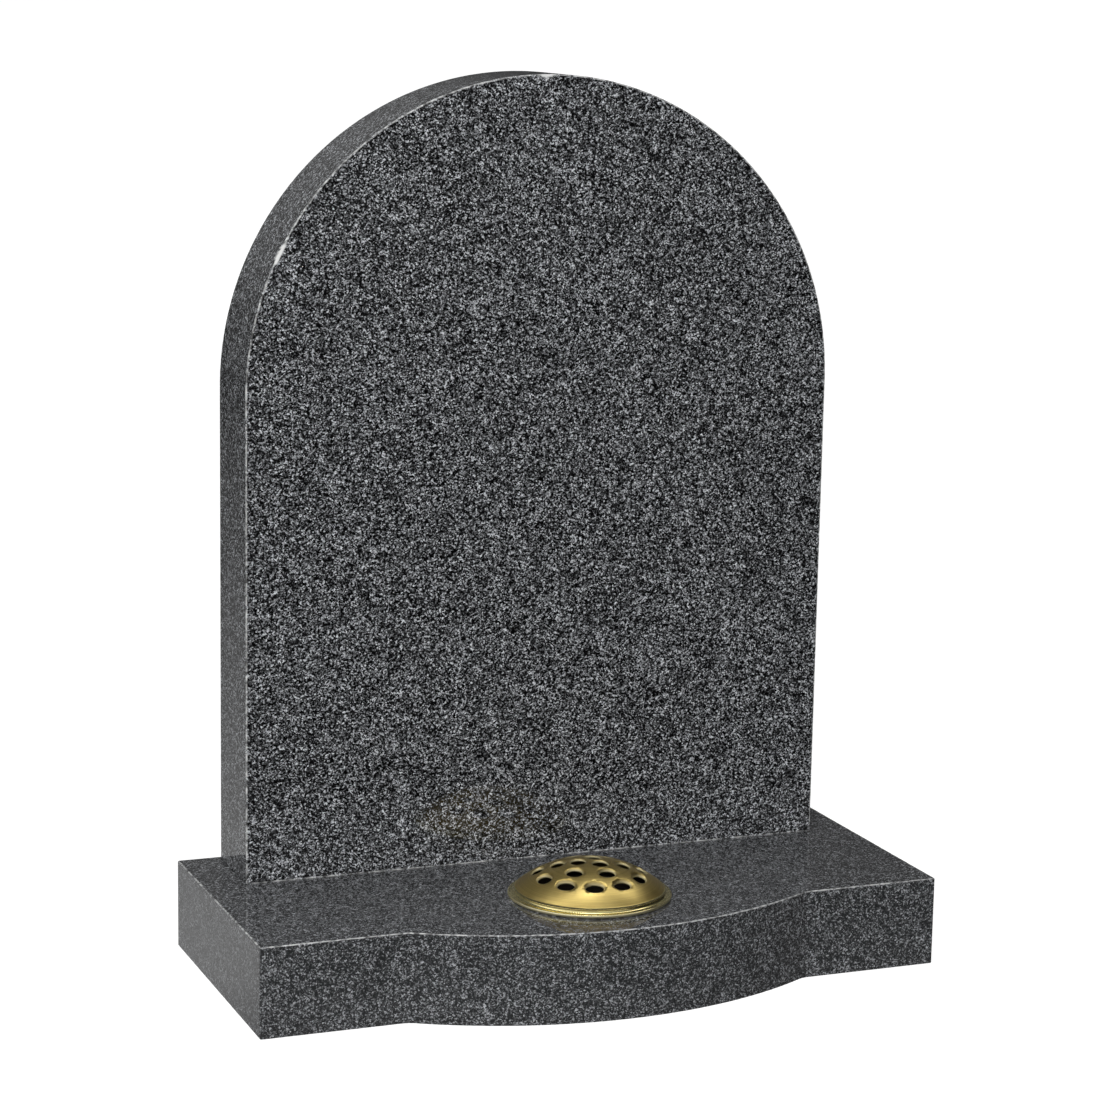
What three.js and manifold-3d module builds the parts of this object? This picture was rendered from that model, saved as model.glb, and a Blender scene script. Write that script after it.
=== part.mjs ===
// A polished granite headstone: an upright tablet with a half-round top, standing on a base whose
// front bows out. A thin metal flower pot hangs in a hole through the base, under a domed lid with
// rings of holes for the stems.
// Millimetres, +Z up. The front faces -Y, and the origin is on the ground under the middle of the base.

import * as THREE from "three";
import { mergeVertices } from "three/addons/utils/BufferGeometryUtils.js";
import Module from "manifold-3d";

// Tablet
const TABLET_WIDTH = 610;
const TABLET_SIDE_HEIGHT = 476; // upright sides, up to where the round top springs
const TABLET_THICKNESS = 92;

// Base
const BASE_HEIGHT = 88;
const BASE_SIDE_MARGIN = 42.5; // stone showing beside each end of the tablet
const BASE_BACK_MARGIN = 8; // stone showing behind the tablet
const BOW_RISE = 56; // how far the middle of the front stands forward of its straight ends
const BOW_RADIUS = 400;
const BOW_FILLET = 25; // radius of the hollow curve that leads from each straight end into the bow
const ARRIS = 1.5; // width and depth of the small chamfer on the edges of both stones

// Flower pot
const POT_RADIUS = 62; // outside of its wall
const POT_WALL = 1.2;
const POT_FLOOR_CORNER = 8; // outer radius where the wall turns into the floor
const POT_GROUND_CLEARANCE = 8; // from the ground up to the underside of its floor
const POT_HOLE_CLEARANCE = 2.5; // all round, between its wall and the hole in the base
const POT_FLANGE_SEAT = 10; // width of the flange that lies on the stone around the hole
const SEAT_GAP = 0.3; // between metal and the surface that it lies on

// Lid
const LID_WALL = 1.2;
const LID_FLANGE_CLEARANCE = 1.5; // all round, between the flange and the lid's rolled rim
const LID_ROLL_RADIUS = 1.8; // of the rolled wire edge
const LID_SKIRT_SPREAD = 6.1; // how far the rim stands out from the foot of the dome
const LID_SKIRT_HEIGHT = 7.5; // from the stone up to the foot of the dome
const LID_DOME_RISE = 27.5; // from the foot of the dome to its top
const LID_TABLET_GAP = 57; // from the tablet's face to the lid's rim
const LID_FRONT_GAP = 34; // from the lid's rim to the front of the bow
const LID_WEB = 3.5; // metal left between two rings of the smallest holes
const LID_FIRST_RING = 2 / 3; // radius of the innermost ring, in steps from ring to ring
const LID_PLAIN_BAND = 1.2; // from the outermost ring to the foot of the dome, in the same steps
// From the middle outwards; widening is the size of a ring's holes against the innermost ones.
const LID_RINGS = [
  { holes: 3, turnDegrees: 57, widening: 1 },
  { holes: 6, turnDegrees: 39, widening: 1.05 },
  { holes: 11, turnDegrees: 24, widening: 1.14 },
];

// Fineness of the facets
const TABLET_CURVE_STEPS = 32;
const BASE_CURVE_STEPS = 12;
const ROUND_SIDES = 44;
const DOME_STEPS = 5;
const CORNER_STEPS = 4;
const STEM_HOLE_SIDES = 12;

// Sizes that follow from the ones above
const tabletTopRadius = TABLET_WIDTH / 2;
const baseWidth = TABLET_WIDTH + 2 * BASE_SIDE_MARGIN;
const potHoleRadius = POT_RADIUS + POT_HOLE_CLEARANCE;
const potFlangeRadius = potHoleRadius + POT_FLANGE_SEAT;
const lidRollCentre = potFlangeRadius + LID_FLANGE_CLEARANCE + LID_ROLL_RADIUS;
const lidRadius = lidRollCentre + LID_ROLL_RADIUS;
const domeRadius = lidRadius - LID_SKIRT_SPREAD;
const domeSphereRadius = (domeRadius ** 2 + LID_DOME_RISE ** 2) / (2 * LID_DOME_RISE);
const ringPitch = domeRadius / (LID_FIRST_RING + LID_RINGS.length - 1 + LID_PLAIN_BAND);
const stemHoleRadius = (ringPitch - LID_WEB) / 2;
const overallDepth =
  BASE_BACK_MARGIN + TABLET_THICKNESS + LID_TABLET_GAP + 2 * lidRadius + LID_FRONT_GAP;
const backY = overallDepth / 2;
const bowFrontY = -overallDepth / 2;
const straightFrontY = bowFrontY + BOW_RISE;
const potY = bowFrontY + LID_FRONT_GAP + lidRadius;

const wasm = await Module();
wasm.setup();

// Joining and cutting

function solid(geometry) {
  const bare = geometry.clone();
  bare.deleteAttribute("normal");
  bare.deleteAttribute("uv");
  const merged = mergeVertices(bare, 1e-4);
  const mesh = new wasm.Mesh({
    numProp: 3,
    vertProperties: new Float32Array(merged.attributes.position.array),
    triVerts: new Uint32Array(merged.index.array),
  });
  return new wasm.Manifold(mesh);
}

function geometryOf(body) {
  const mesh = body.getMesh();
  const geometry = new THREE.BufferGeometry();
  geometry.setAttribute("position", new THREE.BufferAttribute(mesh.vertProperties, 3));
  geometry.setIndex(new THREE.BufferAttribute(mesh.triVerts, 1));
  const flat = geometry.toNonIndexed();
  flat.computeVertexNormals();
  return flat;
}

function cut(geometry, tools) {
  const body = tools.reduce((left, tool) => left.subtract(solid(tool)), solid(geometry));
  return geometryOf(body);
}

// Building blocks

// A slab cut to an outline, with a chamfer of ARRIS all round both of its faces. The slab lies in
// the XY plane and is the given thickness along +Z.
function chamferedSlab(outline, thickness, curveSteps) {
  const slab = new THREE.ExtrudeGeometry(outline, {
    depth: thickness - 2 * ARRIS,
    steps: 1,
    curveSegments: curveSteps,
    bevelEnabled: true,
    bevelThickness: ARRIS,
    bevelSize: ARRIS,
    bevelOffset: -ARRIS,
    bevelSegments: 1,
  });
  return slab.translate(0, 0, ARRIS);
}

// A round body about +Z, from a profile of (radius, height) points.
function turned(profile) {
  return new THREE.LatheGeometry(profile, ROUND_SIDES).rotateX(Math.PI / 2);
}

// Points along an arc in a profile, both ends included, with angles in radians.
function arc(centreX, centreY, radius, from, to, steps) {
  const points = [];
  for (let i = 0; i <= steps; i += 1) {
    const angle = from + ((to - from) * i) / steps;
    points.push(
      new THREE.Vector2(centreX + radius * Math.cos(angle), centreY + radius * Math.sin(angle)),
    );
  }
  return points;
}

// Tablet

function tabletOutline() {
  const half = TABLET_WIDTH / 2;
  const outline = new THREE.Shape();
  outline.moveTo(-half, ARRIS);
  outline.lineTo(-half + ARRIS, 0);
  outline.lineTo(half - ARRIS, 0);
  outline.lineTo(half, ARRIS);
  outline.lineTo(half, TABLET_SIDE_HEIGHT);
  outline.absarc(0, TABLET_SIDE_HEIGHT, tabletTopRadius, 0, Math.PI, false);
  outline.lineTo(-half, ARRIS);
  return outline;
}

function tabletGeometry() {
  const slab = chamferedSlab(tabletOutline(), TABLET_THICKNESS, TABLET_CURVE_STEPS);
  return slab.rotateX(Math.PI / 2);
}

// Base

function basePlan() {
  const half = baseWidth / 2;
  const reach = BOW_RADIUS + BOW_FILLET;
  const centreDrop = reach - BOW_RISE;
  const filletX = Math.sqrt(reach ** 2 - centreDrop ** 2);
  const tangent = Math.atan2(centreDrop, filletX);
  const filletY = straightFrontY - BOW_FILLET;
  const bowY = bowFrontY + BOW_RADIUS;

  const plan = new THREE.Shape();
  plan.moveTo(-half + ARRIS, backY);
  plan.lineTo(-half, backY - ARRIS);
  plan.lineTo(-half, straightFrontY + ARRIS);
  plan.lineTo(-half + ARRIS, straightFrontY);
  plan.lineTo(-filletX, straightFrontY);
  plan.absarc(-filletX, filletY, BOW_FILLET, Math.PI / 2, tangent, true);
  plan.absarc(0, bowY, BOW_RADIUS, Math.PI + tangent, 2 * Math.PI - tangent, false);
  plan.absarc(filletX, filletY, BOW_FILLET, Math.PI - tangent, Math.PI / 2, true);
  plan.lineTo(half - ARRIS, straightFrontY);
  plan.lineTo(half, straightFrontY + ARRIS);
  plan.lineTo(half, backY - ARRIS);
  plan.lineTo(half - ARRIS, backY);
  plan.lineTo(-half + ARRIS, backY);
  return plan;
}

function baseGeometry() {
  const block = chamferedSlab(basePlan(), BASE_HEIGHT, BASE_CURVE_STEPS);
  const drill = new THREE.CylinderGeometry(
    potHoleRadius,
    potHoleRadius,
    2 * BASE_HEIGHT,
    ROUND_SIDES,
  );
  drill.rotateX(Math.PI / 2).translate(0, potY, BASE_HEIGHT / 2);
  return cut(block, [drill]);
}

// Flower pot: heights are measured up from the top of the base.

function potGeometry() {
  const floor = POT_GROUND_CLEARANCE - BASE_HEIGHT;
  const inside = POT_RADIUS - POT_WALL;
  const corner = POT_RADIUS - POT_FLOOR_CORNER;
  const cornerY = floor + POT_FLOOR_CORNER;
  const down = -Math.PI / 2;
  const profile = [
    new THREE.Vector2(0, floor),
    ...arc(corner, cornerY, POT_FLOOR_CORNER, down, 0, CORNER_STEPS),
    new THREE.Vector2(POT_RADIUS, SEAT_GAP),
    new THREE.Vector2(potFlangeRadius, SEAT_GAP),
    new THREE.Vector2(potFlangeRadius, SEAT_GAP + POT_WALL),
    new THREE.Vector2(inside, SEAT_GAP + POT_WALL),
    ...arc(corner, cornerY, POT_FLOOR_CORNER - POT_WALL, 0, down, CORNER_STEPS),
    new THREE.Vector2(0, floor + POT_WALL),
  ];
  return turned(profile);
}

// Lid: heights are measured up from the top of the base.

// The skirt leaves the foot of the dome and sweeps out in a hollow curve to the top of the roll.
function lidSkirt(inset) {
  const top = LID_SKIRT_HEIGHT - inset;
  const bottom = SEAT_GAP + 2 * LID_ROLL_RADIUS - inset;
  const inner = domeRadius - inset;
  const points = [];
  for (let i = 0; i <= CORNER_STEPS; i += 1) {
    const angle = ((Math.PI / 2) * i) / CORNER_STEPS;
    const out = (lidRollCentre - domeRadius) * (1 - Math.cos(angle));
    points.push(new THREE.Vector2(inner + out, top - (top - bottom) * Math.sin(angle)));
  }
  return points;
}

function lidGeometry() {
  const sphereY = LID_SKIRT_HEIGHT + LID_DOME_RISE - domeSphereRadius;
  const foot = Math.atan2(LID_SKIRT_HEIGHT - sphereY, domeRadius);
  const rollY = SEAT_GAP + LID_ROLL_RADIUS;
  const up = Math.PI / 2;
  const outer = arc(0, sphereY, domeSphereRadius, up, foot, DOME_STEPS).slice(0, -1);
  const roll = arc(lidRollCentre, rollY, LID_ROLL_RADIUS, up, -up * 2, 2 * CORNER_STEPS);
  const inner = arc(0, sphereY, domeSphereRadius - LID_WALL, foot, up, DOME_STEPS).slice(1);
  outer[0].x = 0;
  inner[inner.length - 1].x = 0;
  const profile = [
    ...outer,
    ...lidSkirt(0),
    ...roll.slice(1),
    ...lidSkirt(LID_WALL).reverse().slice(1),
    ...inner,
  ];
  return cut(turned(profile.reverse()), stemHoles(sphereY));
}

// A straight punch through the dome for each stem hole, square to the dome's surface.
function stemHoles(sphereY) {
  const length = 8 * LID_WALL;
  const punches = [];
  const addPunch = (ringRadius, turn, widening) => {
    const lean = Math.asin(ringRadius / domeSphereRadius);
    const radius = stemHoleRadius * widening;
    const punch = new THREE.CylinderGeometry(radius, radius, length, STEM_HOLE_SIDES);
    punch.translate(0, domeSphereRadius, 0);
    punch.rotateX(Math.PI / 2);
    punch.rotateY(lean);
    punch.rotateZ(turn);
    punches.push(punch.translate(0, 0, sphereY));
  };
  LID_RINGS.forEach(({ holes, turnDegrees, widening }, ring) => {
    for (let i = 0; i < holes; i += 1) {
      const turn = THREE.MathUtils.degToRad(turnDegrees) + (2 * Math.PI * i) / holes;
      addPunch(ringPitch * (ring + LID_FIRST_RING), turn, widening);
    }
  });
  return punches;
}

// Materials

const granite = {
  color: 0x3c4042,
  roughness: 0.22,
  metalness: 0,
};

const dullAluminium = {
  color: 0x45433f,
  roughness: 0.5,
  metalness: 1,
};

const goldAnodised = {
  color: 0xb59a4e,
  roughness: 0.3,
  metalness: 1,
};

// Assembly

function piece(name, geometry, look, x, y, z) {
  const mesh = new THREE.Mesh(geometry, new THREE.MeshStandardMaterial(look));
  mesh.name = name;
  mesh.position.set(x, y, z);
  return mesh;
}

const headstone = new THREE.Group();
headstone.name = "headstone";
headstone.add(piece("base", baseGeometry(), granite, 0, 0, 0));
headstone.add(
  piece("tablet", tabletGeometry(), granite, 0, backY - BASE_BACK_MARGIN, BASE_HEIGHT),
);
headstone.add(piece("flower_pot", potGeometry(), dullAluminium, 0, potY, BASE_HEIGHT));
headstone.add(piece("pot_lid", lidGeometry(), goldAnodised, 0, potY, BASE_HEIGHT));

export default headstone;
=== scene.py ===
# A polished granite headstone: a round-topped tablet on a bow-fronted base, with a flower pot sunk
# in the base under a gold lid. Metres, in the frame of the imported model: +Z up, the front faces -Y.

import math

import bmesh
import bpy
from mathutils import Matrix, Vector, geometry, noise


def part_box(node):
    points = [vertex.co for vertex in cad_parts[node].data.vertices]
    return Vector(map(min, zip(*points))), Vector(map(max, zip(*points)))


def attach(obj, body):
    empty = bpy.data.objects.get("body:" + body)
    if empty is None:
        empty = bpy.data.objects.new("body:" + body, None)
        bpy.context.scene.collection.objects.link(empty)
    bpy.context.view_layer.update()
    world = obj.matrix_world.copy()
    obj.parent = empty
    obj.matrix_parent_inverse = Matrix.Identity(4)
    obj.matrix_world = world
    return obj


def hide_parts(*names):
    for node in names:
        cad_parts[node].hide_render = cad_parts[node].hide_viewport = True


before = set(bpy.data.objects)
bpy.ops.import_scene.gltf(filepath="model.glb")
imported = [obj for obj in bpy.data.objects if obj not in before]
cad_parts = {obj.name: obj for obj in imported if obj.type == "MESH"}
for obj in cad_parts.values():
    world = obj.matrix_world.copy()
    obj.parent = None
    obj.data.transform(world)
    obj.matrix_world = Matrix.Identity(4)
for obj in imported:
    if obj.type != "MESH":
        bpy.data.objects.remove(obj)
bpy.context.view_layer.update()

MM = 0.001

# Stone
TABLET_TOP_STEPS = 420
BASE_CURVE_STEPS = 90
ARRIS = 1.1 * MM
ARRIS_STEPS = 4
ARRIS_WAVER = 0.22 * MM  # how deep the wear of an arris goes
WEAR_SCALE = 160  # unevenness per metre: of the wear, of its finer part, of the pale line and of a chip
FINE_WEAR_SCALE = 420
PALE_SCALE = 230
CHIP_SCALE = 300
EDGE_STEP = 2.5 * MM
CORNER_ROUND = 1.8 * MM  # radius of the upright corners, and of the tablet's foot
FACE_BAND = 7 * MM  # width of the ring of small faces beside each arris
CORNER_BEND = 0.97  # an outline turns a corner where its normals' product is below this
CORNER_REACH = 1.5 * FACE_BAND  # from a corner to where the ring has its full width
ARRIS_EDGE = 0.5 * MM  # how far the look of an arris runs into the faces beside it
ARRIS_END_WEAR = 0.35  # wear where an arris meets its faces, against its middle
# Paleness of the arris of the lit face: partly ground wear, partly a painted highlight along it
ARRIS_WEAR_AND_HIGHLIGHT = 0.85
FOOT_BAND = 1.9 * MM  # height of the pale line along the tablet's foot
FOOT_PALE = 0.95
TIGHT = 0.35  # size of the arris at the tablet's foot against the others
# Chips on the tablet's front arris: degrees round the arch, size and depth in millimetres
CHIPS = ((154.9, 2.2, 0.8), (154.3, 2.7, 1.0), (153.6, 2.5, 1.1), (152.9, 2.7, 1.1), (152.2, 2.4, 0.9),
         (151.6, 2.0, 0.7), (91.5, 2.2, 0.7), (90.8, 2.5, 0.8), (90.2, 2.0, 0.6))

# Base outline
BOW_RISE = 56 * MM
BOW_RADIUS = 400 * MM
BOW_FILLET = 25 * MM

# Granite: scales are in cells per metre
BASE_TONE = 0.84  # brightness of the base's slab against the tablet's
BASE_CONTRAST = 0.78
GRAIN_MEAN = 0.115
FINE_SCALE = 880.0
FINE_SHARE = 0.7
COARSE_SCALE = 430.0
CLOUD_SCALE = 70.0
CLOUD_SHARE = 0.22
WARP_SCALE = 900.0
WARP_SIZE = 0.9 * MM
STONE_ROUGHNESS = 0.05
GRAIN_ROUGHNESS = 0.02
STONE_IOR = 1.52
STONE_TINT = (0.97, 1.0, 1.05)
# Pale colour of chips and ground arrises; on the lit arrises it also stands as a painted highlight
WEAR_AND_HIGHLIGHT_COLOUR = (0.70, 0.705, 0.70, 1.0)
WORN_ROUGHNESS = 0.6
# (place in the range of grains, brightness) from the darkest to the palest
GRAINS = ((0.20, 0.0003), (0.36, 0.0035), (0.50, 0.0265), (0.64, 0.1080), (0.80, 0.3600), (0.95, 0.7200))

# Pot and lid
METAL = 1.2 * MM
POT_RADIUS = 62 * MM
POT_HOLE_RADIUS = 64.5 * MM
POT_FLANGE_RADIUS = 74.5 * MM
POT_FLOOR_CORNER = 8 * MM
SEAT_GAP = 0.3 * MM
ROUND_STEPS = 160
LID_ROLL = 1.75 * MM
LID_SKIRT_SPREAD = 6.1 * MM
LID_SKIRT_HEIGHT = 7.5 * MM
LID_DOME_RISE = 27.5 * MM
LID_WEB = 3.5 * MM
LID_FIRST_RING = 2 / 3  # radius of the innermost ring of holes, in steps from ring to ring
LID_PLAIN_BAND = 1.2  # from the outermost ring to the foot of the dome, in the same steps
LID_LIP = 1.4 * MM
LID_RINGS = ((3, 57, 1.0), (6, 39, 1.05), (11, 24, 1.14))  # holes, turn in degrees, widening
LID_BEAD = 0.495 * MM  # radius of the bead at the foot of the dome
HOLE_STEPS = 40
HOLE_TURNS = [2 * math.pi * i / HOLE_STEPS for i in range(HOLE_STEPS)]
HOLE_OVAL = 0.38  # how much narrower a hole at the dome's foot is across its ring than along it
RIM_LEAN = 0.65  # lean of a hole's rim against the dome's own
LIP_STEPS = 5
LIP_DROP = 0.5 * MM  # straight part of a hole's rim below its rounded lip
FILL_STEP = 2.6 * MM  # distance between the points of the dome

# Metal: each has a light and a dark tone of its spun rings
GOLD = ((0.90, 0.70, 0.25), (0.66, 0.48, 0.15))
GOLD_ROUGHNESS = 0.33
# Painted highlight: a pale yellow laid on the lid's hollow below the dome
COVE_PAINTED_HIGHLIGHT = (1.0, 0.88, 0.42, 1.0)
# Painted highlight: a cream laid on the rolled rim's underside and on the hole lips
EDGE_PAINTED_HIGHLIGHT = (1.0, 0.92, 0.60, 1.0)
# The pot's tones are darkened far below aluminium's, as painted shade inside the pot
POT_PAINTED_SHADE = ((0.085, 0.074, 0.060), (0.050, 0.043, 0.034))
ALUMINIUM_ROUGHNESS = 0.5
COVE_HIGHLIGHT_SHARE = 0.9  # how far the hollow takes the painted highlight colour
COVE_POLISH = 0.16  # how much smoother the hollow of the lid is than its dome
EDGE_ROUGHNESS = 0.3
RING_RELIEF = 0.05
LID_RING_SCALE = 700.0
POT_RING_SCALE = 900.0

# Light: glow and sky are (place, brightness) from near to far and from the horizon to overhead
GLOW = ((0.02, 0.48), (0.22, 0.28), (0.52, 0.14), (1.0, 0.04))
GLOW_CENTRE = (-0.45, 0.2, 0.0)
GLOW_REACH = 4.0
SKY = ((0.0, 0.05), (0.10, 0.09), (0.20, 0.15), (0.35, 0.24), (0.75, 0.48))
SKY_LEFT = 1.2  # how much brighter the sky is towards -X
SKY_LEAST = 0.1
KEY_POWER = 108
KEY_PLACE = (-1.5, -2.8, 1.75)
KEY_TARGET = (0, 0, 0.35)
KEY_SIZE = (2.2, 1.7)
FLOOR_GLOW = 0.93
# Soft boxes that only mirrors show: centre, size and brightness
OVERHEAD_CARD = ((0.0, 1.65, 3.0), (5.2, 2.7), 1.9)
OVERHEAD_LAMP = ((0.2, 0.5, 2.9), (0.7, 0.5), 7.0)
FRONT_CARD = ((1.1, -3.4, 1.65), (3.4, 0.8), 0.9)

# Camera: degrees for the turns, millimetres for the lens
CAMERA_PLACE = (-1.091081, -2.676379, 0.957852)
CAMERA_YAW_PITCH_ROLL = (21.757, 10.616, -1.002)
CAMERA_LENS = 99.51

base_low, base_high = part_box("base")
tablet_low, tablet_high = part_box("tablet")
lid_low, lid_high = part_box("pot_lid")
pot_low, pot_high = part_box("flower_pot")
base_top = base_high.z
pot_centre = Vector(((lid_low.x + lid_high.x) / 2, (lid_low.y + lid_high.y) / 2, base_top))
lid_radius = (lid_high.x - lid_low.x) / 2


# Meshes

def add_object(name, bm, material, node):
    """A finished piece from a bmesh: it rides on the body and stands for its CAD node."""
    mesh = bpy.data.meshes.new(name)
    bm.to_mesh(mesh)
    bm.free()
    mesh.materials.append(material)
    piece = bpy.data.objects.new(name, mesh)
    bpy.context.scene.collection.objects.link(piece)
    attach(piece, "root")
    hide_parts(node)
    return piece


def resampled(points, step):
    """A closed outline with no edge longer than step."""
    out = []
    for i, start in enumerate(points):
        end = points[(i + 1) % len(points)]
        pieces = max(1, math.ceil((end - start).length / step))
        out += [start.lerp(end, k / pieces) for k in range(pieces)]
    return out


def arc_points(centre, radius, start, end, steps):
    angles = [start + (end - start) * i / steps for i in range(steps + 1)]
    return [centre + radius * Vector((math.cos(a), math.sin(a))) for a in angles]


def eased(corner, before, after, radius, steps=4):
    """Points of a small round at a square corner between two directions along the outline."""
    centre = corner - before * radius + after * radius
    points = []
    for i in range(steps + 1):
        turn = math.pi / 2 * i / steps
        points.append(centre - after * radius * math.cos(turn) + before * radius * math.sin(turn))
    return points


def outline_normals(points):
    """Outward normals of a closed outline that runs anticlockwise."""
    normals = []
    for i, point in enumerate(points):
        along = (points[(i + 1) % len(points)] - points[i - 1]).normalized()
        normals.append(Vector((along.y, -along.x)))
    return normals


def corner_room(points, normals):
    """How fully a ring can be drawn in from each point, from almost none at a square corner to 1."""
    corners = [p for p, before, after in zip(points, normals[-1:] + normals[:-1], normals[1:] + normals[:1])
               if before.dot(after) < CORNER_BEND]
    rooms = []
    for point in points:
        nearest = min((point - corner).length for corner in corners)
        rooms.append(max(0.03, min(1.0, nearest / CORNER_REACH)))
    return rooms


def tightened(w, thickness):
    """A distance from one face, with the arris drawn in to a fraction of its size."""
    return w * TIGHT if w < thickness / 2 else thickness - (thickness - w) * TIGHT


def join_rings(bm, low, high):
    """Four-sided faces between two rings with the same number of points."""
    for i in range(len(low)):
        j = (i + 1) % len(low)
        bm.faces.new((low[i], low[j], high[j], high[i]))


def slab_rows(thickness):
    """(inset, distance from the first face, wear) of every ring of a slab, from face to face."""
    rows = [(FACE_BAND, 0.0, 0.0), (FACE_BAND / 2, 0.0, 0.0), (ARRIS + ARRIS_EDGE, 0.0, 0.0)]
    rows.append((ARRIS, 0.0, ARRIS_END_WEAR))
    for i in range(1, ARRIS_STEPS):
        turn = math.pi / 2 * i / ARRIS_STEPS
        rows.append((ARRIS * (1 - math.sin(turn)), ARRIS * (1 - math.cos(turn)), 1.0))
    rows += [(0.0, ARRIS, ARRIS_END_WEAR), (0.0, ARRIS + ARRIS_EDGE, 0.0), (0.0, ARRIS + FACE_BAND, 0.0)]
    return rows + [(inset, thickness - w, wear) for inset, w, wear in reversed(rows)]


def close_slab(bm, first, last, place, thickness, hole):
    """The two flat faces of a slab and, where there is a hole, its wall."""
    if hole is None:
        bm.faces.new(list(reversed(first)))
        bm.faces.new(last)
        return
    hole_rings = [[bm.verts.new(place(p.x, p.y, w)) for p in hole] for w in (0.0, thickness)]
    for ring, hole_ring in zip((first, last), hole_rings):
        verts = ring + hole_ring
        for a, b, c in geometry.tessellate_polygon([[v.co for v in ring], [v.co for v in hole_ring]]):
            bm.faces.new((verts[a], verts[b], verts[c]))
    low, high = hole_rings
    for i in range(len(hole)):
        j = (i + 1) % len(hole)
        bm.faces.new((low[i], high[i], high[j], low[j])).smooth = True


def slab(outline, thickness, place, pale_side, dents=(), hole=None, foot=None):
    """A slab with rounded, slightly wavering arrises. place turns (u, v, w) into a point, w from 0 at
    one face to the thickness at the other. The arris of the face at w = pale_side is pale, partly as
    ground wear and partly as a painted highlight. A hole is a closed list of points in the same plane.
    At the height foot the arris is tight, as on the base."""
    bm = bmesh.new()
    wear_and_highlight = bm.verts.layers.float.new("wear_and_highlight")
    through = (place(0, 0, 1) - place(0, 0, 0)).normalized()
    normals = outline_normals(outline)
    rings = []
    rooms = corner_room(outline, normals)
    rows = slab_rows(thickness)
    for inset, w, wear in rows:
        ring = []
        for point, normal, room in zip(outline, normals, rooms):
            bedded = foot is not None and point.y < foot + FOOT_BAND
            if inset > ARRIS:
                inset_here = ARRIS + (inset - ARRIS) * room
            else:
                inset_here = inset * TIGHT if bedded else inset
            flat = point - normal * inset_here
            across_w = w if not bedded or ARRIS < w < thickness - ARRIS else tightened(w, thickness)
            spot = place(flat.x, flat.y, across_w)
            depth = 0.0
            if wear > 0:
                ragged = noise.noise(spot * WEAR_SCALE) + 0.6 * noise.noise(spot * FINE_WEAR_SCALE)
                depth = ARRIS_WAVER * max(0.0, ragged) * wear
            chipped = 0.0
            for dent in dents:
                if inset < FACE_BAND and w < ARRIS + FACE_BAND:
                    chipped = max(chipped, dent(spot))
            depth += chipped
            middle = place(flat.x - normal.x * 0.01, flat.y - normal.y * 0.01, thickness / 2)
            inward = (middle - place(flat.x, flat.y, thickness / 2)).normalized()
            if depth > 0:
                spot = spot + (inward + (through if w <= thickness / 2 else -through)).normalized() * depth
            vert = bm.verts.new(spot)
            # Pale arris of the lit face: partly ground wear, partly a painted highlight. The pale line at
            # the foot is ground wear
            pale = 0.0
            if inset <= ARRIS and abs(w - pale_side) <= ARRIS:
                pale = (FOOT_PALE if bedded else ARRIS_WEAR_AND_HIGHLIGHT) * max(0.1, 0.4 + noise.noise(spot * PALE_SCALE))
            vert[wear_and_highlight] = max(min(1.0, chipped / (0.35 * MM)), pale)
            ring.append(vert)
        rings.append(ring)
    flat_rows = 3
    creases = (flat_rows + ARRIS_STEPS, len(rows) - 1 - flat_rows - ARRIS_STEPS)
    for row, (low, high) in enumerate(zip(rings, rings[1:])):
        for i in range(len(outline)):
            j = (i + 1) % len(outline)
            face = bm.faces.new((low[i], low[j], high[j], high[i]))
            face.smooth = flat_rows <= row < len(rows) - 1 - flat_rows
            if row in creases:
                bm.edges.get((low[i], low[j])).smooth = False
    close_slab(bm, rings[0], rings[-1], place, thickness, hole)
    bmesh.ops.recalc_face_normals(bm, faces=bm.faces)
    return bm


def round_ring(bm, centre, radius, height, steps=ROUND_STEPS):
    turns = [2 * math.pi * i / steps for i in range(steps)]
    spots = [Vector((radius * math.cos(turn), radius * math.sin(turn), height)) for turn in turns]
    return [bm.verts.new(centre + spot) for spot in spots]


def turned(profile, centre, steps=ROUND_STEPS):
    """A round body about a vertical axis from (radius, height) points, closed where it meets the axis."""
    bm = bmesh.new()
    rings = []
    for radius, height in profile:
        if radius < 1e-9:
            rings.append([bm.verts.new(centre + Vector((0, 0, height)))])
            continue
        rings.append(round_ring(bm, centre, radius, height, steps))
    for low, high in zip(rings, rings[1:]):
        if len(low) == len(high):
            join_rings(bm, low, high)
            continue
        for i in range(steps):
            j = (i + 1) % steps
            bm.faces.new((low[0], high[j], high[i]) if len(low) == 1 else (low[i], low[j], high[0]))
    for face in bm.faces:
        face.smooth = True
    bmesh.ops.recalc_face_normals(bm, faces=bm.faces)
    return bm


# Materials

class Nodes:
    """Short calls for building one material's node tree."""

    def __init__(self, name):
        self.material = bpy.data.materials.new(name)
        self.material.use_nodes = True
        self.tree = self.material.node_tree
        self.shader = self.tree.nodes["Principled BSDF"]

    def add(self, kind, inputs=(), **settings):
        node = self.tree.nodes.new(kind)
        for key, value in settings.items():
            setattr(node, key, value)
        for socket, value in dict(inputs).items():
            self.put(node.inputs[socket], value)
        return node

    def put(self, socket, value):
        if isinstance(value, bpy.types.NodeSocket):
            self.tree.links.new(value, socket)
        else:
            socket.default_value = value

    def math(self, operation, a, b=0.0):
        return self.add("ShaderNodeMath", {0: a, 1: b}, operation=operation).outputs[0]

    def ramp(self, value, stops):
        node = self.add("ShaderNodeValToRGB", {0: value})
        elements = node.color_ramp.elements
        while len(elements) < len(stops):
            elements.new(0.5)
        for element, (place, colour) in zip(elements, stops):
            element.position = place
            element.color = (*colour, 1.0)
        return node.outputs[0]

    def mix(self, factor, a, b):
        node = self.add("ShaderNodeMix", data_type="RGBA")
        self.put(node.inputs[0], factor)
        self.put(node.inputs[6], a)
        self.put(node.inputs[7], b)
        return node.outputs[2]


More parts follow.
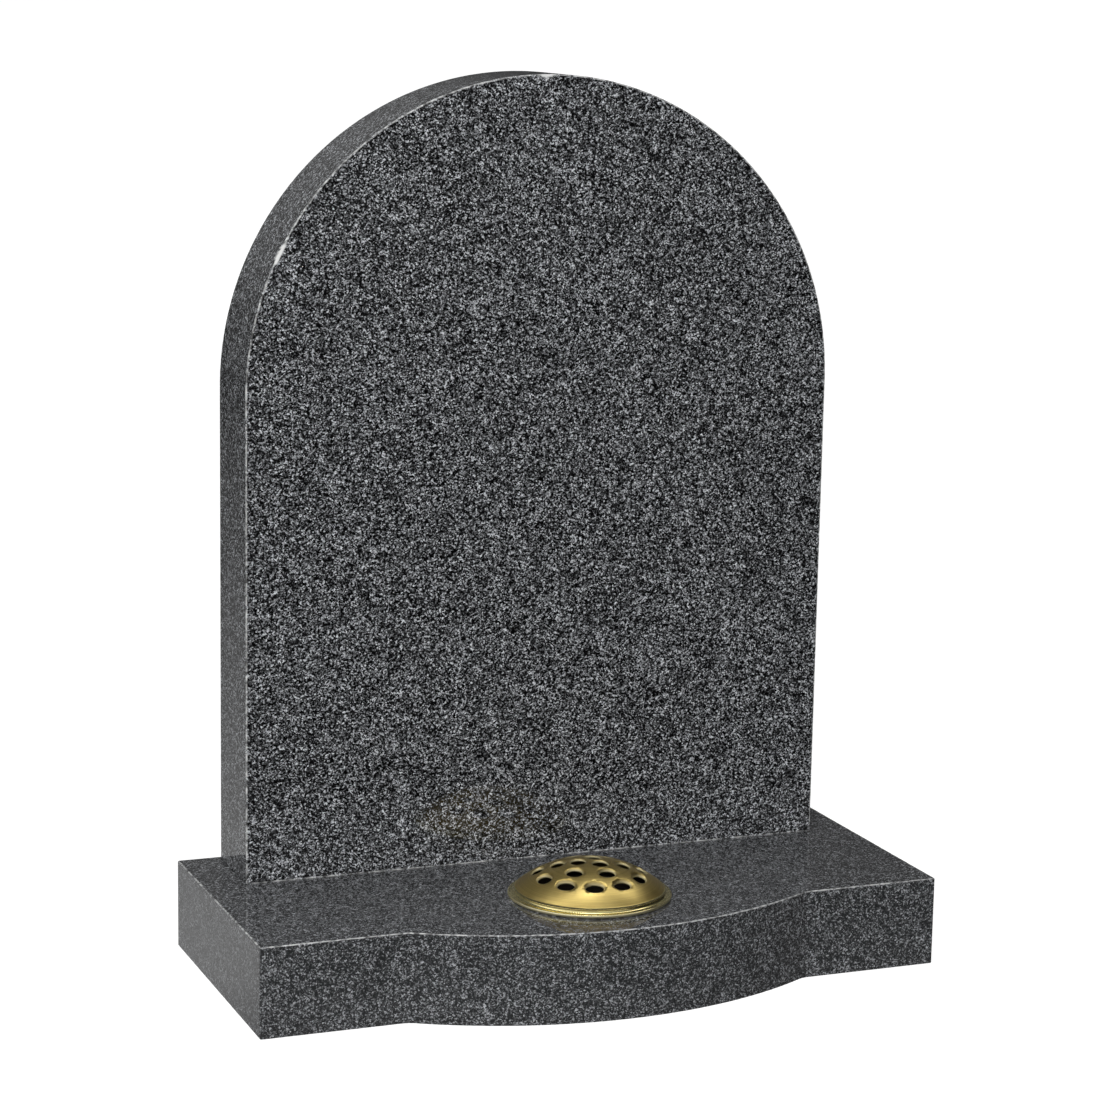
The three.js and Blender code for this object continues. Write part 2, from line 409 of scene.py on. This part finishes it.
def granite_material(name, tone, contrast):
    """Polished dark grey granite: black, grey and pale grains one or two millimetres across."""
    n = Nodes(name)
    grains = [(spot, tone * (GRAIN_MEAN + (bright - GRAIN_MEAN) * contrast)) for spot, bright in GRAINS]
    place = n.add("ShaderNodeTexCoord").outputs["Object"]
    warp = n.add("ShaderNodeTexNoise", {"Vector": place, "Scale": WARP_SCALE, "Detail": 1.0})
    size = (WARP_SIZE,) * 3
    shift = n.add("ShaderNodeVectorMath", {0: warp.outputs["Color"], 1: size}, operation="MULTIPLY")
    moved = n.add("ShaderNodeVectorMath", {0: place, 1: shift.outputs[0]}, operation="ADD").outputs[0]
    fine = n.add("ShaderNodeTexVoronoi", {"Vector": moved, "Scale": FINE_SCALE, "Randomness": 1.0})
    fine_pick = n.add("ShaderNodeSeparateColor", {0: fine.outputs["Color"]})
    coarse = n.add("ShaderNodeTexVoronoi", {"Vector": moved, "Scale": COARSE_SCALE, "Randomness": 1.0})
    coarse_pick = n.add("ShaderNodeSeparateColor", {0: coarse.outputs["Color"]})
    cloud = n.add(
        "ShaderNodeTexNoise", {"Vector": place, "Scale": CLOUD_SCALE, "Detail": 3.0, "Roughness": 0.6}
    )
    value = n.math("MULTIPLY", fine_pick.outputs[0], FINE_SHARE)
    value = n.math("ADD", value, n.math("MULTIPLY", coarse_pick.outputs[0], 1 - FINE_SHARE))
    lift = n.math("SUBTRACT", cloud.outputs["Fac"], 0.5)
    value = n.math("ADD", value, n.math("MULTIPLY", lift, CLOUD_SHARE))
    colour = n.ramp(value, [(spot, tuple(c * bright for c in STONE_TINT)) for spot, bright in grains])
    # Chips and ground arrises, with a painted highlight along the lit arrises
    wear_and_highlight = n.add("ShaderNodeAttribute", attribute_name="wear_and_highlight").outputs["Fac"]
    colour = n.mix(wear_and_highlight, colour, WEAR_AND_HIGHLIGHT_COLOUR)
    n.put(n.shader.inputs["Base Color"], colour)
    polish = n.math("MULTIPLY_ADD", coarse_pick.outputs[1], GRAIN_ROUGHNESS)
    polish.node.inputs[2].default_value = STONE_ROUGHNESS
    n.put(n.shader.inputs["Roughness"], n.math("ADD", polish, n.math("MULTIPLY", wear_and_highlight, WORN_ROUGHNESS)))
    n.shader.inputs["IOR"].default_value = STONE_IOR
    bump = n.add("ShaderNodeBump", {"Height": cloud.outputs["Fac"], "Strength": 0.02, "Distance": 0.001})
    n.put(n.shader.inputs["Normal"], bump.outputs[0])
    return n.material


def spun_metal(name, tones, roughness, ring_scale, cove_highlight_share):
    """Metal spun on a lathe: fine rings about the pot's axis, smoother in the lid's hollow, with a painted
    highlight colour on the hollow and on the places that the layer edge marks.
    """
    n = Nodes(name)
    light, dark = tones
    place = n.add("ShaderNodeTexCoord").outputs["Object"]
    centred = n.add("ShaderNodeVectorMath", {0: place, 1: tuple(pot_centre)}, operation="SUBTRACT")
    axes = n.add("ShaderNodeSeparateXYZ", {0: centred.outputs[0]})
    across = n.math("MULTIPLY", axes.outputs[0], axes.outputs[0])
    along = n.math("MULTIPLY", axes.outputs[1], axes.outputs[1])
    radius = n.math("SQRT", n.math("ADD", across, along))
    reach = n.math("ADD", radius, n.math("MULTIPLY", axes.outputs[2], -0.6))
    line = n.add("ShaderNodeCombineXYZ", {0: n.math("MULTIPLY", reach, ring_scale)})
    drift = n.add("ShaderNodeTexNoise", {"Vector": place, "Scale": 9.0})
    rings = n.add(
        "ShaderNodeTexNoise",
        {"Vector": line.outputs[0], "W": n.math("MULTIPLY", drift.outputs["Fac"], 0.5), "Scale": 1.0,
         "Detail": 4.0},
        noise_dimensions="4D",
    ).outputs["Fac"]
    patches = n.add("ShaderNodeTexNoise", {"Vector": place, "Scale": 60.0, "Detail": 3.0}).outputs["Fac"]
    tone = n.math("ADD", n.math("MULTIPLY", rings, 0.7), n.math("MULTIPLY", patches, 0.3))
    colour = n.ramp(tone, [(0.35, dark), (0.65, light)])
    # edge marks where a painted highlight lies: the hole lips and the rolled rim's underside
    edge = n.add("ShaderNodeAttribute", attribute_name="edge").outputs["Fac"]
    # The hollow below the dome is lightened towards the painted highlight colour
    cove_from = LID_SKIRT_HEIGHT + LID_LIP
    low = n.add("ShaderNodeMapRange", {0: axes.outputs[2], 1: cove_from, 2: LID_SKIRT_HEIGHT})
    low = n.math("MULTIPLY", low.outputs[0], cove_highlight_share)
    colour = n.mix(low, colour, COVE_PAINTED_HIGHLIGHT)
    n.put(n.shader.inputs["Base Color"], n.mix(edge, colour, EDGE_PAINTED_HIGHLIGHT))
    rough = n.math("MULTIPLY_ADD", rings, 0.16)
    rough.node.inputs[2].default_value = roughness - 0.08
    rough = n.math("SUBTRACT", rough, n.math("MULTIPLY", low, COVE_POLISH))
    n.put(n.shader.inputs["Roughness"], n.math("ADD", rough, n.math("MULTIPLY", edge, EDGE_ROUGHNESS)))
    n.shader.inputs["Metallic"].default_value = 1.0
    relief = n.math("MULTIPLY_ADD", low, -RING_RELIEF)
    relief.node.inputs[2].default_value = RING_RELIEF
    bump = n.add("ShaderNodeBump", {"Height": rings, "Strength": relief, "Distance": 0.0004})
    n.put(n.shader.inputs["Normal"], bump.outputs[0])
    return n.material


# Tablet

def tablet_dents():
    """Chips on the front arris: each turns a point into a depth."""
    front = tablet_low.y
    radius = (tablet_high.x - tablet_low.x) / 2
    spring = tablet_high.z - radius
    radius -= ARRIS
    spots = []
    for degrees, size, deep in CHIPS:
        turn = math.radians(degrees)
        centre = Vector((radius * math.cos(turn), front, spring + radius * math.sin(turn)))
        spots.append((centre, size * MM, deep * MM))

    def depth(point):
        most = 0.0
        for centre, size, deep in spots:
            far = (point - centre).length / size
            far += 0.35 * noise.noise(point * CHIP_SCALE)
            if far < 1:
                most = max(most, deep * min(1.0, 2.2 * (1 - far)))
        return most

    return depth


def make_tablet(material):
    half = (tablet_high.x - tablet_low.x) / 2
    foot, top = tablet_low.z, tablet_high.z
    spring = top - half
    corner = CORNER_ROUND
    right, up = Vector((1, 0)), Vector((0, 1))
    outline = eased(Vector((-half, foot)), -up, right, corner)
    outline += eased(Vector((half, foot)), right, up, corner)
    outline += arc_points(Vector((0, spring)), half, 0, math.pi, TABLET_TOP_STEPS)
    outline = resampled(outline, EDGE_STEP)
    thickness = tablet_high.y - tablet_low.y

    def place(u, v, w):
        return Vector((u, tablet_low.y + w, v))

    bm = slab(outline, thickness, place, 0.0, dents=[tablet_dents()], foot=foot)
    return add_object("tablet_stone", bm, material, "tablet")


# Base

def make_base(material):
    half = base_high.x
    back, front = base_high.y, base_low.y
    straight = front + BOW_RISE
    reach = BOW_RADIUS + BOW_FILLET
    drop = reach - BOW_RISE
    fillet_x = math.sqrt(reach**2 - drop**2)
    tangent = math.atan2(drop, fillet_x)
    corner = CORNER_ROUND
    right, up = Vector((1, 0)), Vector((0, 1))
    steps = BASE_CURVE_STEPS
    outline = eased(Vector((-half, straight)), -up, right, corner)
    outline += arc_points(
        Vector((-fillet_x, straight - BOW_FILLET)), BOW_FILLET, math.pi / 2, tangent, steps // 3
    )
    outline += arc_points(
        Vector((0, front + BOW_RADIUS)), BOW_RADIUS, math.pi + tangent, 2 * math.pi - tangent, steps
    )[1:]
    outline += arc_points(
        Vector((fillet_x, straight - BOW_FILLET)), BOW_FILLET, math.pi - tangent, math.pi / 2, steps // 3
    )[1:]
    outline += eased(Vector((half, straight)), right, up, corner)
    outline += eased(Vector((half, back)), up, -right, corner)
    outline += eased(Vector((-half, back)), -right, -up, corner)
    outline = resampled(outline, EDGE_STEP)
    hole = arc_points(pot_centre.xy, POT_HOLE_RADIUS, 0, 2 * math.pi, ROUND_STEPS)[:-1]

    def place(u, v, w):
        return Vector((u, v, w))

    thickness = base_high.z - base_low.z
    bm = slab(outline, thickness, place, thickness, hole=hole)
    return add_object("base_stone", bm, material, "base")


# Pot

def make_pot(material):
    floor = pot_low.z - base_top
    corner_x, corner_z = POT_RADIUS - POT_FLOOR_CORNER, floor + POT_FLOOR_CORNER

    def corner(radius, start, end):
        return [
            (corner_x + radius * math.cos(a), corner_z + radius * math.sin(a))
            for a in (start + (end - start) * i / 8 for i in range(9))
        ]

    down = -math.pi / 2
    edge = SEAT_GAP + METAL / 2
    lip = [
        (POT_FLANGE_RADIUS - METAL / 2 + METAL / 2 * math.sin(a), edge - METAL / 2 * math.cos(a))
        for a in (math.pi * i / 6 for i in range(7))
    ]
    inside = POT_RADIUS - METAL
    profile = [(0, floor)] + corner(POT_FLOOR_CORNER, down, 0) + [(POT_RADIUS, SEAT_GAP)] + lip
    profile += [(inside + 1 * MM, SEAT_GAP + METAL), (inside, SEAT_GAP)]
    profile += corner(POT_FLOOR_CORNER - METAL, 0, down) + [(0, floor + METAL)]
    return add_object("pot_sleeve", turned(profile, pot_centre), material, "flower_pot")


# Lid

dome_radius = lid_radius - LID_SKIRT_SPREAD
sphere_radius = (dome_radius**2 + LID_DOME_RISE**2) / (2 * LID_DOME_RISE)
sphere_z = LID_SKIRT_HEIGHT + LID_DOME_RISE - sphere_radius
ring_pitch = dome_radius / (LID_FIRST_RING + len(LID_RINGS) - 1 + LID_PLAIN_BAND)
stem_radius = (ring_pitch - LID_WEB) / 2


def stem_holes():
    """(distance from the middle, turn, radius) of every stem hole."""
    holes = []
    for ring, (count, degrees, widening) in enumerate(LID_RINGS):
        for i in range(count):
            turn = math.radians(degrees) + 2 * math.pi * i / count
            holes.append((ring_pitch * (ring + LID_FIRST_RING), turn, stem_radius * widening))
    return holes


class StemHole:
    """An oval hole drawn down into the dome. Its rim leans less than the dome does."""

    def __init__(self, reach, turn, radius):
        self.lean = math.asin(reach / sphere_radius)
        self.wide = radius
        self.long = radius * (1 - HOLE_OVAL * reach / dome_radius)
        self.outward = Vector((math.cos(turn), math.sin(turn), 0))
        self.along = Vector((-math.sin(turn), math.cos(turn), 0))
        self.axis = self.tilted(self.lean)
        self.over = self.along.cross(self.axis)

    def tilted(self, lean):
        return self.outward * math.sin(lean) + Vector((0, 0, math.cos(lean)))

    def surface_ray(self, turn, spread):
        """Where the hole's outline, grown by spread, meets the dome, as a ray from the sphere's centre."""
        flat = self.along * (self.wide + spread) * math.cos(turn)
        flat += self.over * (self.long + spread) * math.sin(turn)
        return (self.axis * sphere_radius + flat).normalized()

    def rim_point(self, turn, grow, sink):
        """A point of the drawn rim: grow is outwards from the opening and sink down from the dome."""
        rim_axis = self.tilted(self.lean * RIM_LEAN)
        rim_over = self.along.cross(rim_axis)
        flat = self.along * (self.wide + grow) * math.cos(turn)
        flat += rim_over * (self.long + grow) * math.sin(turn)
        low_side = self.long * math.sin(self.lean * (1 - RIM_LEAN))
        middle = self.axis * (sphere_radius - self.wide**2 / (2 * sphere_radius))
        return pot_centre + Vector((0, 0, sphere_z)) + middle + flat - rim_axis * (sink + low_side)


def plan_of(ray):
    """A point of the dome on a flat plan by its angle from the top, so that holes stay nearly round."""
    angle = math.acos(max(-1.0, min(1.0, ray.z)))
    flat = Vector((ray.x, ray.y))
    return flat.normalized() * angle if flat.length > 1e-9 else Vector((0.0, 0.0))


def ray_of(spot):
    """The point of the plan as a ray from the sphere's centre."""
    angle = spot.length
    if angle < 1e-9:
        return Vector((0, 0, 1))
    flat = spot.normalized()
    return Vector((flat.x * math.sin(angle), flat.y * math.sin(angle), math.cos(angle)))


def in_hole(spot, holes, grow):
    """Whether a point of the plan lies in a hole whose lip is scaled by grow."""
    ray = ray_of(spot)
    for hole in holes:
        across = ray.dot(hole.along) * sphere_radius / (hole.wide + LID_LIP)
        down = ray.dot(hole.over) * sphere_radius / (hole.long + LID_LIP)
        if ray.dot(hole.axis) > 0 and math.hypot(across, down) < grow:
            return True
    return False


def dome_plan(holes):
    """Points and faces of the pierced dome on its plan: its foot, then each hole's lip, then the rest."""
    foot = math.asin(dome_radius / sphere_radius)
    points = arc_points(Vector((0, 0)), foot, 0, 2 * math.pi, ROUND_STEPS)[:-1]
    edges = [(i, (i + 1) % ROUND_STEPS) for i in range(ROUND_STEPS)]
    for hole in holes:
        start = len(points)
        points += [plan_of(hole.surface_ray(turn, LID_LIP)) for turn in HOLE_TURNS]
        edges += [(start + i, start + (i + 1) % HOLE_STEPS) for i in range(HOLE_STEPS)]
    step = FILL_STEP / sphere_radius
    rows = int(foot / step)
    for row in range(1, rows + 1):
        angle = foot * row / (rows + 1)
        around = max(6, int(2 * math.pi * angle / step))
        for i in range(around):
            turn = 2 * math.pi * (i + 0.5 * (row % 2)) / around
            spot = angle * Vector((math.cos(turn), math.sin(turn)))
            if not in_hole(spot, holes, 1.12):
                points.append(spot)
    made = geometry.delaunay_2d_cdt(points, edges, [], 0, 1e-9)
    flat_points, faces = made[0], made[2]
    kept = []
    for face in faces:
        middle = sum((flat_points[k] for k in face), Vector((0, 0))) / len(face)
        if not in_hole(middle, holes, 0.985):
            kept.append(face)
    return flat_points, kept


def draw_lip(bm, edge, hole, previous, back):
    """The lip of a hole turns down into the dome, and its cut edge is the thickness of the metal.
    The layer edge marks the lip for a painted highlight, fully where it turns down.
    """
    rows = []
    for k in range(1, LIP_STEPS + 1):
        turn = math.pi / 2 * k / LIP_STEPS
        rows.append((LID_LIP * (1 - math.sin(turn)), LID_LIP * (1 - math.cos(turn))))
    rows += [(0.0, LID_LIP + LIP_DROP), (METAL * 0.7, LID_LIP + LIP_DROP)]
    for grow, sink in rows:
        fresh = [bm.verts.new(hole.rim_point(turn, grow, sink)) for turn in HOLE_TURNS]
        for vert in fresh:
            # The lip is marked for a painted highlight
            vert[edge] = 1.0 if sink > 0.3 * LID_LIP else 0.5
        join_rings(bm, previous, fresh)
        previous = fresh
    join_rings(bm, previous, back)


def rim_profile(inner_foot):
    """Bead, hollow and rolled rim as one strip of (radius, height, edge), ending inside the dome.
    edge marks the underside of the roll for a painted highlight.
    """
    roll_x = lid_radius - LID_ROLL
    roll_z = SEAT_GAP + LID_ROLL
    strip = []
    for i in range(1, 8):
        turn = math.radians(100 - 190 * i / 7)
        strip.append((dome_radius - 0.1 * MM + LID_BEAD * math.cos(turn),
                      LID_SKIRT_HEIGHT - 0.3 * MM + LID_BEAD * math.sin(turn)))
    top_x, top_z = strip[-1]
    end_x, end_z = roll_x - 0.3 * MM, roll_z + LID_ROLL
    for i in range(1, 9):
        turn = math.pi / 2 * i / 8
        strip.append((top_x + (end_x - top_x) * (1 - math.cos(turn)),
                      top_z + (end_z - top_z) * math.sin(turn)))
    for i in range(1, 17):
        turn = math.radians(90 - 270 * i / 16)
        strip.append((roll_x + LID_ROLL * math.cos(turn), roll_z + LID_ROLL * math.sin(turn)))
    strip.append((inner_foot + 1.6 * MM, roll_z + 1.0 * MM))
    strip.append((inner_foot + 0.4 * MM, LID_SKIRT_HEIGHT - 2.6 * MM))
    # The underside of the roll is marked for a painted highlight
    highlight_under = roll_z + 0.8 * LID_ROLL
    return [(x, z, 1.0 if z < highlight_under and x > dome_radius else 0.0) for x, z in strip]


def make_lid(material):
    bm = bmesh.new()
    # The layer edge marks where the painted highlight lies
    edge = bm.verts.layers.float.new("edge")
    holes = [StemHole(*hole) for hole in stem_holes()]
    flat_points, faces = dome_plan(holes)
    skins = []
    origin = pot_centre + Vector((0, 0, sphere_z))
    for radius in (sphere_radius, sphere_radius - METAL):
        skin = [bm.verts.new(origin + ray_of(spot) * radius) for spot in flat_points]
        skins.append(skin)
        for face in faces:
            bm.faces.new([skin[k] for k in face])
    outer, inner = skins
    for number, hole in enumerate(holes):
        start = ROUND_STEPS + number * HOLE_STEPS
        draw_lip(bm, edge, hole, outer[start:start + HOLE_STEPS], inner[start:start + HOLE_STEPS])
    previous = outer[:ROUND_STEPS]
    inner_foot = (inner[0].co.xy - pot_centre.xy).length
    for radius, height, pale in rim_profile(inner_foot):
        fresh = round_ring(bm, pot_centre, radius, height)
        # Marks the roll's underside for the painted highlight
        for vert in fresh:
            vert[edge] = pale
        join_rings(bm, previous, fresh)
        previous = fresh
    join_rings(bm, previous, inner[:ROUND_STEPS])
    for face in bm.faces:
        face.smooth = True
    bmesh.ops.recalc_face_normals(bm, faces=bm.faces)
    return add_object("lid_dome", bm, material, "pot_lid")


# Studio

def area_light(name, place, target, size, power):
    data = bpy.data.lights.new(name, "AREA")
    data.shape = "RECTANGLE"
    data.size, data.size_y = size
    data.energy = power
    light = bpy.data.objects.new(name, data)
    bpy.context.scene.collection.objects.link(light)
    light.location = place
    light.rotation_mode = "QUATERNION"
    light.rotation_quaternion = (Vector(target) - Vector(place)).to_track_quat("-Z", "Y")
    return light


def stage_object(name, bm, material):
    mesh = bpy.data.meshes.new(name)
    bm.to_mesh(mesh)
    bm.free()
    mesh.materials.append(material)
    made = bpy.data.objects.new(name, mesh)
    bpy.context.scene.collection.objects.link(made)
    return made


def emitter(name, strength):
    """Nodes of a material that only gives off white light."""
    n = Nodes(name)
    n.shader.inputs["Base Color"].default_value = (0, 0, 0, 1)
    n.shader.inputs["Specular IOR Level"].default_value = 0.0
    n.shader.inputs["Emission Color"].default_value = (1, 1, 1, 1)
    n.put(n.shader.inputs["Emission Strength"], strength)
    return n


def show_in_mirrors_only(piece):
    piece.visible_camera = False
    piece.visible_diffuse = False
    piece.visible_shadow = False


def make_floor():
    """A pale floor that curves up into a round backdrop. It catches shadows and throws no light."""
    n = emitter("pale_floor", FLOOR_GLOW)
    n.shader.inputs["Base Color"].default_value = (0.25, 0.25, 0.25, 1)
    n.shader.inputs["Roughness"].default_value = 1.0
    flat, bend, height = 4.5, 1.5, 5.0
    profile = [(0, 0), (flat, 0)]
    for i in range(1, 13):
        turn = math.pi / 2 * i / 12
        profile.append((flat + bend * math.sin(turn), bend * (1 - math.cos(turn))))
    profile.append((flat + bend, height))
    floor = stage_object("floor", turned(profile, Vector((0, 0, 0)), 64), n.material)
    floor.visible_glossy = False
    floor.visible_diffuse = False
    floor.visible_shadow = False


def make_glow():
    """The lit floor as the polished stone mirrors it: bright near the stone and fading outwards."""
    n = emitter("floor_glow", 0.0)
    place = n.add("ShaderNodeTexCoord").outputs["Object"]
    away = n.add("ShaderNodeVectorMath", {0: place, 1: GLOW_CENTRE}, operation="SUBTRACT").outputs[0]
    far = n.add("ShaderNodeVectorMath", {0: away}, operation="LENGTH").outputs["Value"]
    fade = n.ramp(n.math("DIVIDE", far, GLOW_REACH), [(spot, (bright,) * 3) for spot, bright in GLOW])
    depth = n.add("ShaderNodeSeparateXYZ", {0: place}).outputs[1]
    behind = n.add("ShaderNodeMapRange", {0: depth, 1: -0.35, 2: 0.05}).outputs[0]
    n.put(n.shader.inputs["Emission Strength"], n.math("MULTIPLY", fade, behind))
    bm = bmesh.new()
    bm.faces.new([bm.verts.new((x, y, -0.002)) for x, y in ((-6, -6), (6, -6), (6, 6), (-6, 6))])
    show_in_mirrors_only(stage_object("floor_glow", bm, n.material))


def make_card(name, centre, size, strength, upright=False):
    """A soft box that only mirrors show, level overhead or upright in front."""
    bm = bmesh.new()
    for u, v in ((-0.5, -0.5), (0.5, -0.5), (0.5, 0.5), (-0.5, 0.5)):
        deep, high = (0.0, v * size[1]) if upright else (v * size[1], 0.0)
        bm.verts.new((centre[0] + u * size[0], centre[1] + deep, centre[2] + high))
    bm.faces.new(list(bm.verts))
    show_in_mirrors_only(stage_object(name, bm, emitter(name, strength).material))


def make_world():
    """A soft overhead sky that is dim towards the horizon and towards +X."""
    world = bpy.data.worlds.new("studio")
    world.use_nodes = True
    tree = world.node_tree
    direction = tree.nodes.new("ShaderNodeTexCoord").outputs["Generated"]
    axes = tree.nodes.new("ShaderNodeSeparateXYZ")
    tree.links.new(direction, axes.inputs[0])
    ramp = tree.nodes.new("ShaderNodeValToRGB")
    tree.links.new(axes.outputs[2], ramp.inputs[0])
    elements = ramp.color_ramp.elements
    while len(elements) < len(SKY):
        elements.new(0.5)
    for element, (height, bright) in zip(elements, SKY):
        element.position = height
        element.color = (bright, bright, bright, 1)
    tree.links.new(ramp.outputs[0], tree.nodes["Background"].inputs["Color"])
    tilt = tree.nodes.new("ShaderNodeMath")
    tilt.operation = "MULTIPLY_ADD"
    tree.links.new(axes.outputs[0], tilt.inputs[0])
    tilt.inputs[1].default_value = -SKY_LEFT
    tilt.inputs[2].default_value = 1.0
    kept = tree.nodes.new("ShaderNodeMath")
    kept.operation = "MAXIMUM"
    kept.inputs[1].default_value = SKY_LEAST
    tree.links.new(tilt.outputs[0], kept.inputs[0])
    tree.links.new(kept.outputs[0], tree.nodes["Background"].inputs["Strength"])
    bpy.context.scene.world = world


def make_camera():
    """The photograph's camera: a long lens in front, to the left and a little above."""
    place = Vector(CAMERA_PLACE)
    yaw, pitch, roll = (math.radians(a) for a in CAMERA_YAW_PITCH_ROLL)
    ahead = Vector((math.sin(yaw) * math.cos(pitch), math.cos(yaw) * math.cos(pitch), -math.sin(pitch)))
    right = Vector((math.cos(yaw), -math.sin(yaw), 0))
    down = ahead.cross(right)
    across = right * math.cos(roll) + down * math.sin(roll)
    below = down * math.cos(roll) - right * math.sin(roll)
    data = bpy.data.cameras.new("camera")
    data.sensor_width = 36
    data.lens = CAMERA_LENS
    data.clip_start, data.clip_end = 0.05, 50
    camera = bpy.data.objects.new("camera", data)
    bpy.context.scene.collection.objects.link(camera)
    rotation = Matrix((across, -below, -ahead)).transposed()
    camera.matrix_world = Matrix.Translation(place) @ rotation.to_4x4()
    bpy.context.scene.camera = camera


make_tablet(granite_material("tablet_granite", 1.0, 1.0))
make_base(granite_material("base_granite", BASE_TONE, BASE_CONTRAST))
# The pot's colour is darkened as painted shade
make_pot(spun_metal("pot_aluminium_painted_shade", POT_PAINTED_SHADE, ALUMINIUM_ROUGHNESS, POT_RING_SCALE, 0.0))
# The lid carries painted highlights on its hollow, its rolled rim's underside and its hole lips
make_lid(spun_metal("gold_anodised", GOLD, GOLD_ROUGHNESS, LID_RING_SCALE, COVE_HIGHLIGHT_SHARE))
make_camera()
make_world()
make_floor()
make_glow()
make_card("overhead_card", *OVERHEAD_CARD)
make_card("overhead_lamp", *OVERHEAD_LAMP)
make_card("front_card", *FRONT_CARD, upright=True)
area_light("key", KEY_PLACE, KEY_TARGET, KEY_SIZE, KEY_POWER).visible_glossy = False
bpy.context.scene.view_settings.view_transform = "Standard"
